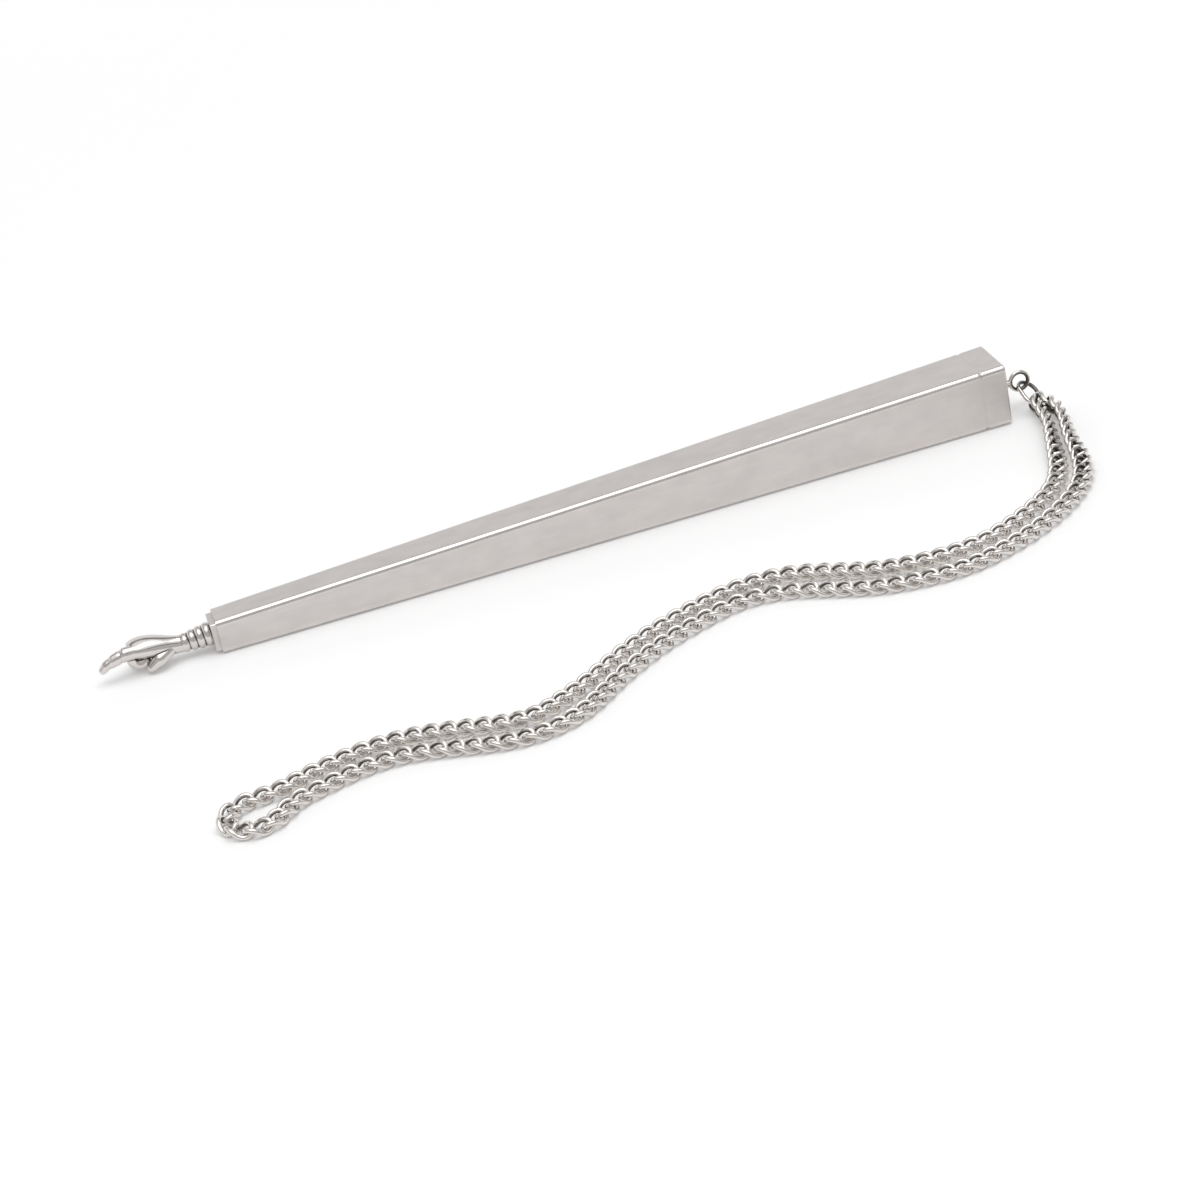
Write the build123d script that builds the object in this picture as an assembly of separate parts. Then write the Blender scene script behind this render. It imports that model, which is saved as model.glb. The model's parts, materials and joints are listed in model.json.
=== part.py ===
from build123d import *
import math
import os

# Pointing hand with a ribbed cuff on a tapered square shaft, and a doubled curb chain on an eye.
# Millimetres. The origin is the middle of the shaft's lower face, which lies on the table.
# +X runs along the pointer towards the chain, +Z is up, and the chain lies on the -Y side.

# Shaft: a tapered square tube
shaft_length = 170.0
narrow_side = 7.4
wide_side = 13.35
shaft_edge_radius = 1.1
shaft_wall = 1.0
shaft_inner_radius = 0.3

# Fits: room left between parts that are soldered, screwed or threaded together
solder_gap = 0.05
cut_margin = 1.0

# Tip plug: closes the narrow end, with a square collar that shows as a step
plug_length = 10.0
collar_side = 6.1
collar_thickness = 1.2
collar_edge_radius = 0.4

# End cap: closes the wide end, and its seam shows on the shaft's edges
cap_length = 5.5
cap_spigot_length = 6.0
cap_rim_radius = 0.4

# Eye: a wire loop on a shank that screws into the cap
eye_wire = 0.9
eye_outer_diameter = 4.9
eye_reach = 5.0
eye_height = 5.9
eye_shank_diameter = 1.8
eye_shank_depth = 7.0

# Jump ring: an oval wire ring that hangs from the eye's lower side, leaning over towards the table
ring_wire = 0.85
ring_length = 7.7
ring_width = 5.3
ring_heading = -86.0
ring_slope = 24.2
ring_roll = -25.1
ring_hook_angle = -52.4
ring_play = 0.26

# Curb link: twisted so that its ends stand across each other and the chain lies flat
link_wire = 1.0
link_length = 6.2
link_width = 4.3
link_end_tilt = 47.0
link_side_slope = 42.0

# Room that a link has on its neighbour: (distance from the jump ring along a strand, slack)
link_slack = [
    (0.0, 0.75),
    (24.0, 0.7),
    (44.0, 0.5),
    (58.0, 0.5),
    (76.0, 0.85),
    (100.0, 0.85),
    (116.0, 0.6),
    (138.0, 0.48),
    (152.0, 0.48),
    (164.0, 0.85),
    (196.0, 0.9),
    (212.0, 0.75),
]

# Chain: one closed loop of links, folded into two strands that lie side by side
table_gap = 0.03
hook_play = 1.53
hook_spread = 1.12
hook_lift = 0.20
hook_level_length = 14.1
hook_roll_out = 73.0
hook_roll_back = 74.0
on_edge_links = 2.3
untwist_links = 10.8
drop_length = 42.5
fold_radius = 5.0
span_links = 4
fold_links = 7
strand_samples = 60
fold_samples = 8

# Middle line between the strands, from the eye's outermost wire (x, y), read off the table
chain_route = [
    (-0.1, -12.5),
    (-1.8, -19.0),
    (-3.6, -25.4),
    (-5.6, -32.6),
    (-8.9, -39.3),
    (-13.9, -44.8),
    (-20.9, -49.8),
    (-29.4, -54.0),
    (-38.3, -56.2),
    (-47.4, -55.9),
    (-55.7, -53.6),
    (-63.5, -49.2),
    (-71.3, -45.2),
    (-80.3, -44.2),
    (-90.5, -47.0),
    (-100.5, -51.5),
    (-108.9, -57.0),
    (-116.7, -62.9),
    (-123.9, -67.2),
    (-130.5, -68.4),
    (-138.0, -66.6),
    (-146.0, -63.6),
    (-154.2, -61.7),
    (-162.9, -62.3),
    (-169.9, -64.2),
    (-176.4, -66.6),
    (-182.7, -69.4),
]

# How far apart the strands lie: (distance along the middle line, spacing)
strand_spread = [
    (6.0, 3.42),
    (14.0, 3.4),
    (36.0, 5.03),
    (62.0, 5.4),
    (78.0, 6.8),
    (104.0, 6.8),
    (124.0, 4.9),
    (152.0, 4.9),
    (166.0, 6.6),
    (182.0, 6.6),
    (206.0, 5.8),
]
fold_flare_length = 9.0

# Hand: all stations are measured from the collar's face along the pointer
cuff_base_diameter = 5.2
cuff_tip_diameter = 3.8
cuff_length = 6.3
cuff_rings = 4
cuff_groove = 0.45
cuff_droop = 4.0
stud_diameter = 3.0
stud_length = 8.0

# Palm sections: (station, height of the middle above the shaft's axis, width, thickness)
palm_sections = [
    (6.0, -0.45, 3.5, 3.5),
    (8.6, 0.1, 4.5, 4.0),
    (11.8, 0.95, 5.9, 4.4),
    (15.0, 1.45, 6.0, 3.9),
    (16.9, 1.5, 4.6, 2.6),
]

# Pointing finger: (station, sideways, height, diameter) of its knuckle, joints and tip
index_joints = [
    (14.6, -1.3, 1.5, 2.9),
    (17.6, -1.45, 1.6, 3.0),
    (20.1, -1.4, 0.95, 2.6),
    (21.7, -1.35, 0.25, 2.15),
    (22.65, -1.3, -0.5, 1.65),
]

# Curled fingers: (sideways, diameter, station of the knuckle bend, bend radius)
curled_fingers = [
    (-0.6, 2.2, 14.9, 1.7),
    (1.2, 2.1, 14.9, 1.65),
    (2.6, 1.8, 14.5, 1.5),
]
curl_height = -0.25
curl_start = 70.0
curl_sweep = 200.0

# Thumb: (station, sideways, height, diameter) of its root, joint and tip
thumb_joints = [
    (9.0, -1.3, -0.5, 2.6),
    (11.2, -2.5, -1.15, 2.8),
    (13.2, -2.6, -2.3, 2.1),
]

x_narrow = -shaft_length / 2
x_wide = shaft_length / 2
x_seam = x_wide - cap_length
x_collar = x_narrow - collar_thickness
axis_height = narrow_side / 2

eye_radius = (eye_outer_diameter - eye_wire) / 2
eye_centre = Vector(x_wide + eye_reach, 0, eye_height)
eye_outermost = eye_centre + Vector(eye_radius, 0, 0)

link_half_length = (link_length - link_wire) / 2
link_half_width = (link_width - link_wire) / 2
taut_pitch = link_length - 2 * link_wire


def side_at(x):
    """Side of the tapered shaft's square at a station along X."""
    return narrow_side + (wide_side - narrow_side) * (x - x_narrow) / shaft_length


def tapered_block(x_from, x_to, inset, radius):
    """Flat-faced piece of the shaft's taper with rounded edges, set in from the outer faces."""
    near_top = side_at(x_from) - inset
    far_top = side_at(x_to) - inset
    near_half = side_at(x_from) / 2 - inset
    far_half = side_at(x_to) / 2 - inset
    profile = Polyline((x_from, inset), (x_to, inset), (x_to, far_top), (x_from, near_top), close=True)
    plan = Polyline((x_from, -near_half), (x_to, -far_half), (x_to, far_half), (x_from, near_half), close=True)
    block = extrude(Plane.XZ * make_face(profile), amount=wide_side, both=True)
    block = block & extrude(make_face(plan), amount=2 * wide_side)
    ends = block.faces().filter_by(Axis.X)
    return fillet(block.edges() - ends.edges(), radius)


def rod_along_x(x_from, x_to, height, diameter):
    """Round bar along X at a height above the table."""
    start = Plane(origin=(x_from, 0, height), x_dir=(0, 1, 0), z_dir=(1, 0, 0))
    return extrude(start * Circle(diameter / 2), amount=x_to - x_from)


def make_shaft_tube():
    bore = tapered_block(x_narrow - cut_margin, x_seam + cut_margin, shaft_wall, shaft_inner_radius)
    return tapered_block(x_narrow, x_seam, 0, shaft_edge_radius) - bore


def make_tip_plug():
    inset = shaft_wall + solder_gap
    insert = tapered_block(x_narrow, x_narrow + plug_length, inset, shaft_inner_radius)
    face = Plane(origin=(x_collar, 0, axis_height), x_dir=(0, 1, 0), z_dir=(1, 0, 0))
    outline = face * RectangleRounded(collar_side, collar_side, collar_edge_radius)
    collar = extrude(outline, amount=collar_thickness)
    hole_diameter = stud_diameter + 2 * solder_gap
    hole_from = x_collar - cut_margin
    hole = rod_along_x(hole_from, x_collar + stud_length + solder_gap, axis_height, hole_diameter)
    return insert + collar - hole


def make_end_cap():
    head = tapered_block(x_seam, x_wide, 0, shaft_edge_radius)
    rim = head.faces().sort_by(Axis.X)[-1].edges()
    head = fillet(rim, cap_rim_radius)
    inset = shaft_wall + solder_gap
    spigot = tapered_block(x_seam - cap_spigot_length, x_seam, inset, shaft_inner_radius)
    hole_diameter = eye_shank_diameter + 2 * solder_gap
    hole_from = x_wide - eye_shank_depth - solder_gap
    hole = rod_along_x(hole_from, x_wide + cut_margin, eye_height, hole_diameter)
    return head + spigot - hole


def make_eye():
    upright = Plane(origin=eye_centre, x_dir=(1, 0, 0), z_dir=(0, 1, 0))
    loop = upright * Torus(eye_radius, eye_wire / 2)
    shank = rod_along_x(x_wide - eye_shank_depth, eye_centre.X - eye_radius, eye_height, eye_shank_diameter)
    bore = upright * Cylinder(eye_radius - eye_wire / 2, eye_shank_diameter + cut_margin)
    return loop + (shank - bore)


def unit(azimuth, slope):
    """Direction from a heading on the table and a slope down from it, in degrees."""
    flat = math.cos(math.radians(slope))
    return Vector(
        flat * math.cos(math.radians(azimuth)),
        flat * math.sin(math.radians(azimuth)),
        -math.sin(math.radians(slope)),
    )


hook_turn = math.radians(ring_hook_angle)
eye_hook = eye_centre + Vector(math.cos(hook_turn), 0, math.sin(hook_turn)) * eye_radius
ring_direction = unit(ring_heading, ring_slope)
ring_level = Vector(0, 0, 1).cross(ring_direction).normalized()
ring_across = ring_level.rotate(Axis((0, 0, 0), ring_direction), ring_roll)
ring_near = (eye_wire + ring_wire) / 2 + ring_play
ring_far = ring_length - ring_wire - ring_near
ring_end = eye_hook + ring_direction * ring_far
ring_middle = eye_hook + ring_direction * ((ring_far - ring_near) / 2)


def make_jump_ring():
    end_radius = (ring_width - ring_wire) / 2
    straight = ring_length - ring_width
    flat = Plane(origin=ring_middle, x_dir=ring_direction, z_dir=ring_direction.cross(ring_across))
    wire = Circle(ring_wire / 2)
    ring = []
    for side in (1, -1):
        start = flat * Plane(origin=(side * straight / 2, -end_radius, 0), x_dir=(0, 1, 0), z_dir=(1, 0, 0))
        centre = flat.from_local_coords(Vector(side * straight / 2, 0, 0))
        bend_axis = Axis(centre, flat.z_dir * side)
        ring.append(revolve(start * wire, bend_axis, 180))
        run = flat * Plane(origin=(-straight / 2, side * end_radius, 0), x_dir=(0, 1, 0), z_dir=(1, 0, 0))
        ring.append(extrude(run * wire, amount=straight))
    return ring[0] + ring[1:]


def arc_bar(start, tangent, end):
    """Round wire bent along the arc that leaves a point in a direction and ends at another."""
    chord = end - start
    half_turn = math.radians(tangent.get_angle(chord))
    radius = chord.length / (2 * math.sin(half_turn))
    inward = (chord - tangent * chord.dot(tangent)).normalized()
    bend_axis = Axis(start + inward * radius, tangent.cross(inward))
    section = Plane(origin=start, z_dir=tangent) * Circle(link_wire / 2)
    return revolve(section, bend_axis, math.degrees(2 * half_turn))


def biarc_joint(start, start_tangent, end, end_tangent):
    """Point where two equal-handled arcs from the ends of a curve meet smoothly."""
    chord = end - start
    both = start_tangent + end_tangent
    spread = 2 * (1 - start_tangent.dot(end_tangent))
    along = chord.dot(both)
    handle = (math.sqrt(along**2 + spread * chord.dot(chord)) - along) / spread
    return (start + start_tangent * handle + end - end_tangent * handle) * 0.5


def make_link():
    """One curb link about its own middle: a quarter of two arcs, turned about each axis."""
    tilt = math.radians(link_end_tilt)
    slope = math.radians(link_side_slope)
    end = Vector(link_half_length, 0, 0)
    end_tangent = Vector(0, math.cos(tilt), math.sin(tilt))
    side = Vector(0, link_half_width, 0)
    side_tangent = Vector(-math.cos(slope), 0, -math.sin(slope))
    joint = biarc_joint(end, end_tangent, side, side_tangent)
    quarter = arc_bar(end, end_tangent, joint) + arc_bar(side, side_tangent * -1, joint)
    copies = [quarter.rotate(axis, 180) for axis in (Axis.X, Axis.Y, Axis.Z)]
    return quarter + copies


def eased(values, distance):
    """Value at a distance, eased between chosen (distance, value) points after the first run."""
    for (near, low), (far, high) in zip(values, values[1:]):
        if distance <= far:
            share = (distance - near) / (far - near)
            if near > 0:
                share = share * share * (3 - 2 * share)
            return low + (high - low) * share
    return values[-1][1]


def loop_route(rest_height):
    """Route of the whole chain: out along one strand, round the fold, back along the other."""
    hook = (ring_wire + link_wire) / 2 + hook_play
    stops = [Vector(x + eye_outermost.X, y + eye_outermost.Y) for x, y in chain_route]
    flat_end = Vector(ring_end.X, ring_end.Y)
    start = flat_end - (stops[0] - flat_end).normalized() * hook
    middle = Spline([start] + stops)
    total = middle.length
    spread = [(0, hook_spread)] + strand_spread
    spread = spread + [(total - fold_flare_length, spread[-1][1]), (total, 2 * fold_radius)]
    hook_height = ring_end.Z + hook_lift
    heights = [(0, hook_height), (hook_level_length, hook_height)]
    heights = heights + [(drop_length, rest_height), (total, rest_height)]
    outward = []
    inward = []
    for index in range(strand_samples + 1):
        distance = total * index / strand_samples
        place = middle.position_at(distance, PositionMode.LENGTH)
        heading = middle.tangent_at(distance, PositionMode.LENGTH)
        left = Vector(0, 0, 1).cross(heading) * (eased(spread, distance) / 2)
        lift = Vector(0, 0, eased(heights, distance))
        outward.append(place + left + lift)
        inward.append(place - left + lift)
    fold = []
    for index in range(1, fold_samples):
        turn = math.pi * index / fold_samples
        ahead = heading * (fold_radius * math.sin(turn))
        fold.append(place + ahead + left.normalized() * (fold_radius * math.cos(turn)) + lift)
    return Spline(outward + fold + inward[::-1])


def on_edge_share(count):
    """How much of its roll the chain keeps a count of links from the jump ring, eased down to none."""
    share = min(1, max(0, (untwist_links - count) / (untwist_links - on_edge_links)))
    return share * share * (3 - 2 * share)


def link_stations(length):
    """Distances of the links along the loop, drawn out where they have little slack."""
    first = link_half_length
    last = length - link_half_length
    stations = [first]
    while stations[-1] < last:
        from_ring = min(stations[-1], length - stations[-1])
        stations.append(stations[-1] + taut_pitch - eased(link_slack, from_ring))
    fitted = (last - first) / (stations[-1] - first)
    return [first + (distance - first) * fitted for distance in stations]


def link_places(rest_height):
    """Place of every link along the loop, rolled on edge where the ends hook on the jump ring."""
    route = loop_route(rest_height)
    stations = link_stations(route.length)
    gaps = len(stations) - 1
    places = []
    for index, distance in enumerate(stations):
        along = route.tangent_at(distance, PositionMode.LENGTH)
        roll = hook_roll_back * on_edge_share(gaps - index) - hook_roll_out * on_edge_share(index)
        up = (Vector(0, 0, 1) - along * along.Z).normalized().rotate(Axis((0, 0, 0), along), roll)
        middle = route.position_at(distance, PositionMode.LENGTH)
        places.append(Plane(origin=middle, x_dir=along, z_dir=up))
    return places


def gap_between(places, first, second):
    """Point midway between two links."""
    return (places[first].origin + places[second].origin) * 0.5


def chain_spans(places):
    """Split both strands at facing gaps: link numbers of each span, and the pivots between spans."""
    last = len(places) - 1
    half = last // 2
    cuts = [(0, 0)]
    for out in range(span_links, half - fold_links + 1, span_links):
        out_gap = gap_between(places, out - 1, out)
        facing = range(cuts[-1][1] + 1, half)
        back = min(facing, key=lambda i: (gap_between(places, last - i, last - i + 1) - out_gap).length)
        cuts.append((out, back))
    spans = []
    for (out, back), (next_out, next_back) in zip(cuts, cuts[1:]):
        back_links = range(last - next_back + 1, last - back + 1)
        spans.append((range(out, next_out), back_links))
    fold_out, fold_back = cuts[-1]
    spans.append((range(fold_out, half + 1), range(half + 1, last - fold_back + 1)))
    pivots = []
    for out, back in cuts[1:]:
        back_gap = gap_between(places, last - back, last - back + 1)
        pivots.append((gap_between(places, out - 1, out) + back_gap) * 0.5)
    return spans, pivots


def station(distance, sideways, height):
    """Point on the hand: distance from the collar along the pointer, sideways and height off the axis."""
    return Vector(x_collar - distance, sideways, axis_height + height)


def ball(centre, diameter):
    return Pos(*centre) * Sphere(diameter / 2)


def tapered_limb(joints):
    """Finger through joints of given diameters: cones between balls, like the phalanges of a hand."""
    balls = []
    bones = []
    for distance, sideways, height, diameter in joints:
        balls.append((station(distance, sideways, height), diameter))
    for (near, near_size), (far, far_size) in zip(balls, balls[1:]):
        along = (far - near).normalized()
        sections = [
            Plane(origin=near, z_dir=along) * Circle(near_size / 2),
            Plane(origin=far, z_dir=along) * Circle(far_size / 2),
        ]
        bones.append(loft(sections, ruled=True))
    knobs = [ball(centre, size) for centre, size in balls]
    return bones + knobs


def curled_finger(sideways, diameter, bend_station, bend_radius):
    """Finger bent back under the palm: round bar on an arc, with a ball at each end."""
    centre = station(bend_station, sideways, curl_height)
    first = math.radians(curl_start)
    start = centre + Vector(-math.cos(first), 0, math.sin(first)) * bend_radius
    tangent = Vector(-math.sin(first), 0, -math.cos(first))
    section = Plane(origin=start, z_dir=tangent) * Circle(diameter / 2)
    bar = revolve(section, Axis(centre, (0, -1, 0)), curl_sweep)
    last = first - math.radians(curl_sweep)
    end = centre + Vector(-math.cos(last), 0, math.sin(last)) * bend_radius
    return [bar, ball(start, diameter), ball(end, diameter)]


def make_cuff():
    """Ribbed cuff: rounded rings on a cone, turned about an axis that droops a little."""
    pitch = cuff_length / cuff_rings
    taper = (cuff_base_diameter - cuff_tip_diameter) / 2 / cuff_length
    outer = []
    for index in range(cuff_rings):
        start = index * pitch
        valley = cuff_base_diameter / 2 - taper * start - cuff_groove
        crest = cuff_base_diameter / 2 - taper * (start + pitch / 2)
        next_valley = cuff_base_diameter / 2 - taper * (start + pitch) - cuff_groove
        outer.append(ThreePointArc((start, valley), (start + pitch / 2, crest), (start + pitch, next_valley)))
    first_point = outer[0] @ 0
    last_point = outer[-1] @ 1
    closing = Polyline(last_point, (cuff_length, 0), (0, 0), first_point)
    half_profile = make_face(outer + [closing])
    droop = math.radians(cuff_droop)
    lengthwise = Vector(-math.cos(droop), 0, -math.sin(droop))
    frame = Plane(origin=station(0, 0, 0), x_dir=lengthwise, z_dir=(0, 1, 0))
    return revolve(frame * half_profile, Axis(frame.origin, lengthwise), 360)


def make_hand():
    """Cast hand: ribbed cuff, palm, pointing finger, three curled fingers, thumb, and a stud."""
    sections = []
    for distance, height, width, thickness in palm_sections:
        across = Plane(origin=station(distance, 0, height), x_dir=(0, 1, 0), z_dir=(-1, 0, 0))
        sections.append(across * Ellipse(width / 2, thickness / 2))
    forms = [loft(sections)]
    forms = forms + tapered_limb(index_joints) + tapered_limb(thumb_joints)
    for finger in curled_fingers:
        forms = forms + curled_finger(*finger)
    stud = rod_along_x(x_collar, x_collar + stud_length, axis_height, stud_diameter)
    hand = make_cuff() + stud
    for form in forms:
        hand = hand + form
    return hand


def place_links(link, places, numbers):
    """Group of separate links at their places on the chain."""
    return Compound([link.moved(Location(places[number])) for number in numbers])


def build_nodes():
    link = make_link().solid()
    rest_height = link.bounding_box().size.Z / 2 + table_gap
    places = link_places(rest_height)
    spans, pivots = chain_spans(places)
    nodes = {
        "shaft_tube": make_shaft_tube(),
        "tip_plug": make_tip_plug(),
        "hand": make_hand(),
        "end_cap": make_end_cap(),
        "eye": make_eye(),
        "jump_ring": make_jump_ring(),
    }
    for number, (front, back) in enumerate(spans, start=1):
        nodes[f"front_links_{number:02d}"] = place_links(link, places, front)
        nodes[f"back_links_{number:02d}"] = place_links(link, places, back)
    return nodes, pivots


nodes, pivots = build_nodes()
os.makedirs("parts", exist_ok=True)
for name, solid in nodes.items():
    export_step(solid, f"parts/{name}.step")
for number, pivot in enumerate(pivots, start=2):
    print(f"pivot of span {number:02d}: {pivot.X:.3f} {pivot.Y:.3f} {pivot.Z:.3f}")
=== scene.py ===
import json
import math

import bmesh
import bpy
import numpy as np
from mathutils import Matrix, Vector


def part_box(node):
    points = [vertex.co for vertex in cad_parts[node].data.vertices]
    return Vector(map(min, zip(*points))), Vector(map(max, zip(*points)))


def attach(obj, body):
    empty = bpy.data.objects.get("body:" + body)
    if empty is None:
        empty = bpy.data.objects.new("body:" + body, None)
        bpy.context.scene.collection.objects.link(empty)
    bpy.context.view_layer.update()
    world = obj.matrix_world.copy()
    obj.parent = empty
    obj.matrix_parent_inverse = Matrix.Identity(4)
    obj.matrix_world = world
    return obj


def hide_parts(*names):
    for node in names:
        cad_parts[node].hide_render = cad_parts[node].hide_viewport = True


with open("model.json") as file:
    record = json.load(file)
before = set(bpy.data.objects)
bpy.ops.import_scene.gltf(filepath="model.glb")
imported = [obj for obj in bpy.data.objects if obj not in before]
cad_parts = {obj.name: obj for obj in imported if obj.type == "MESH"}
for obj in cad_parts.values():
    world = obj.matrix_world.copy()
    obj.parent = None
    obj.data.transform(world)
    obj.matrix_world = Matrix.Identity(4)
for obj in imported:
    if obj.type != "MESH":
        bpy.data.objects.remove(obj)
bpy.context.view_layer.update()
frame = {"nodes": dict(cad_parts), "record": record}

bl_info = {
    "name": "Silver Pointer with Curb Chain",
    "version": (1, 0, 0),
    "blender": (4, 5, 0),
    "location": "View3D > Sidebar > Pointer",
    "description": "Dresses a tapered pointer with a cast hand and a doubled curb chain",
    "category": "Add Mesh",
}

MM = 0.001
POINTER_BODY = "pointer"
RING_BODY = "ring"
MERGE_DISTANCE = 1e-7
END_SLICE = 0.2 * MM
FLAT_EDGE = math.radians(50)
WIRE_EDGE = math.radians(40)
ROUNDING_STEPS = 4
EYE_STEPS = 48
SHANK_SIDES = 32
SHANK_NECK = 0.85
SHANK_TIP = 0.6
RING_STEPS = 20


# What the frame says about sizes

def node_points(name):
    """Corners of a node's mesh, one row each."""
    mesh = frame["nodes"][name].data
    points = np.empty(len(mesh.vertices) * 3)
    mesh.vertices.foreach_get("co", points)
    return points.reshape(-1, 3)


tube_low, tube_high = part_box("shaft_tube")
plug_low, plug_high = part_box("tip_plug")
cap_low, cap_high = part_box("end_cap")
eye_low, eye_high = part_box("eye")
hand_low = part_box("hand")[0]
tube_corners = node_points("shaft_tube")
collar_corners = node_points("tip_plug")
NARROW_SIDE = float(tube_corners[tube_corners[:, 0] < tube_low.x + END_SLICE, 2].max())
SEAM_SIDE = tube_high.z
TAPER = (SEAM_SIDE - NARROW_SIDE) / (tube_high.x - tube_low.x)
AXIS_HEIGHT = NARROW_SIDE / 2
COLLAR_SIDE = float(np.ptp(collar_corners[collar_corners[:, 0] < plug_low.x + END_SLICE, 1]))
EYE_DIAMETER = eye_high.z - eye_low.z
EYE_HEIGHT = (eye_high.z + eye_low.z) / 2


def side_at(x):
    """Side of the shaft's square at a place along the pointer."""
    return NARROW_SIDE + TAPER * (x - tube_low.x)


# Shader and geometry trees written as expressions

class Signal:
    """A node's output; arithmetic on it adds Math nodes to its tree."""

    def __init__(self, socket):
        self.socket = socket
        self.tree = socket.id_data

    @staticmethod
    def node(tree, kind, settings=None, inputs=None, output=0):
        """Adds one node: its settings first, then the values or links of its sockets."""
        node = tree.nodes.new(kind)
        for name, value in (settings or {}).items():
            if name == "stops":
                ramp = node.color_ramp
                while len(ramp.elements) < len(value):
                    ramp.elements.new(1.0)
                for element, (place, level) in zip(ramp.elements, value):
                    element.position = place
                    element.color = (*level, 1.0) if isinstance(level, tuple) else (level, level, level, 1.0)
            else:
                setattr(node, name, value)
        for name, value in (inputs or {}).items():
            socket = node.inputs[name]
            if isinstance(value, Signal):
                tree.links.new(value.socket, socket)
            elif value is not None:
                socket.default_value = value
        if output is None:
            return node
        return Signal(node.outputs[output])

    def maths(self, operation, first, second=None, clamp=False):
        inputs = {0: first}
        if second is not None:
            inputs[1] = second
        settings = {"operation": operation, "use_clamp": clamp}
        return Signal.node(self.tree, "ShaderNodeMath", settings, inputs)

    def __add__(self, other):
        return self.maths("ADD", self, other)

    def __radd__(self, other):
        return self.maths("ADD", other, self)

    def __sub__(self, other):
        return self.maths("SUBTRACT", self, other)

    def __rsub__(self, other):
        return self.maths("SUBTRACT", other, self)

    def __mul__(self, other):
        return self.maths("MULTIPLY", self, other)

    def __rmul__(self, other):
        return self.maths("MULTIPLY", other, self)

    def __abs__(self):
        return self.maths("ABSOLUTE", self)

    def least(self, other):
        return self.maths("MINIMUM", self, other)

    def most(self, other):
        return self.maths("MAXIMUM", self, other)

    def clamped(self):
        return self.maths("ADD", self, 0.0, clamp=True)

    def fade(self, low, high):
        """Smooth step: 0 at low, 1 at high."""
        settings = {"interpolation_type": "SMOOTHSTEP"}
        inputs = {"Value": self, "From Min": low, "From Max": high}
        return Signal.node(self.tree, "ShaderNodeMapRange", settings, inputs)


# Patterns on the metals: noise scales per metre, and shares at which one look gives way to another
GRAIN_STRETCH = (40.0, 9000.0, 9000.0)
HAIRLINE_STRETCH = (90.0, 2600.0, 2600.0)
SMUDGE_STRETCH = (60.0, 160.0, 160.0)
MOTTLE_STRETCH = (210.0, 420.0, 420.0)
SATIN_CLOUDS = 95.0
CAST_PITS = 2600.0
CAST_CLOUDS = 420.0
WIRE_SCRATCHES = 3200.0
WIRE_CLOUDS = 700.0
CORNER_CUT = 0.3
# The next two ranges fade in the painted shade in the hand's hollows and on the wires' inner sides.
HOLLOW_SHADE_FADE = (0.12, 0.55)
DARKENING_FADE = (0.25, 1.0)
LEAST_ROUGHNESS = 0.05


def new_material(name):
    """Empty node material and its tree."""
    material = bpy.data.materials.new(name)
    material.use_nodes = True
    material.node_tree.nodes.clear()
    return material, material.node_tree


def noise(tree, place, scale, detail=2.0, roughness=0.5):
    """Noise between 0 and 1 at a place."""
    inputs = {"Vector": place, "Scale": scale, "Detail": detail, "Roughness": roughness}
    return Signal.node(tree, "ShaderNodeTexNoise", {}, inputs, "Fac")


def stretched(tree, place, stretch):
    """Place drawn out along the axes, for grain that runs one way."""
    inputs = {"Vector": place, "Scale": stretch}
    return Signal.node(tree, "ShaderNodeMapping", {"vector_type": "POINT"}, inputs)


def tinted(tree, dark, light, share):
    """Colour between two tints."""
    inputs = {"Factor": share, 6: (*dark, 1.0), 7: (*light, 1.0)}
    return Signal.node(tree, "ShaderNodeMix", {"data_type": "RGBA"}, inputs, 2)


def metal_surface(tree, colour, roughness, height, depth):
    """Metal shader with a bumped surface, linked to the material's output."""
    bump = Signal.node(tree, "ShaderNodeBump", {}, {"Strength": 1.0, "Distance": depth, "Height": height})
    inputs = {"Base Color": colour, "Metallic": 1.0, "Roughness": roughness, "Normal": bump}
    shader = Signal.node(tree, "ShaderNodeBsdfPrincipled", {}, inputs)
    Signal.node(tree, "ShaderNodeOutputMaterial", {}, {"Surface": shader}, None)


def satin_silver(settings):
    """Shaft finish: lengthwise brushed grain, clouds and faint mottling, edges polished by handling."""
    material, tree = new_material("satin_silver")
    place = Signal.node(tree, "ShaderNodeTexCoord", {}, {}, "Object")
    parts = Signal.node(tree, "ShaderNodeSeparateXYZ", {}, {"Vector": place}, None)
    x, y, z = (Signal(socket) for socket in parts.outputs)
    side = x * TAPER + (NARROW_SIDE - TAPER * tube_low.x)
    from_flank = side * 0.5 - abs(y)
    from_face = z.least(side - z)
    from_edge = from_flank.most(from_face) - settings.edge_radius * CORNER_CUT
    grain = noise(tree, stretched(tree, place, GRAIN_STRETCH), 1.0, 3.0, 0.65)
    hairlines = noise(tree, stretched(tree, place, HAIRLINE_STRETCH), 1.0, 2.0)
    clouds = noise(tree, place, SATIN_CLOUDS, 3.0, 0.55)
    smudges = noise(tree, stretched(tree, place, SMUDGE_STRETCH), 1.0, 4.0)
    mottle = noise(tree, stretched(tree, place, MOTTLE_STRETCH), 1.0, 2.0)
    worn = 1.0 - (from_edge + (clouds - 0.5) * settings.wear_width * 0.3).fade(0.0, settings.wear_width)
    streaks = (grain - 0.5) * 0.5 + (hairlines - 0.5) * 0.6
    tone = (0.5 + streaks + (clouds - 0.5) * 0.5 + (mottle - 0.5) * 0.9 + worn * 0.3).clamped()
    colour = tinted(tree, settings.shade, settings.tint, tone)
    satin = settings.roughness + (grain - 0.5) * 0.12 + (hairlines - 0.5) * 0.12 + (smudges - 0.5) * 0.14
    rough = satin + worn * (settings.edge_roughness - satin)
    height = grain * 0.6 + hairlines * 0.4
    metal_surface(tree, colour, rough.most(LEAST_ROUGHNESS), height * (1.0 - worn), settings.grain_depth)
    return material


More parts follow.
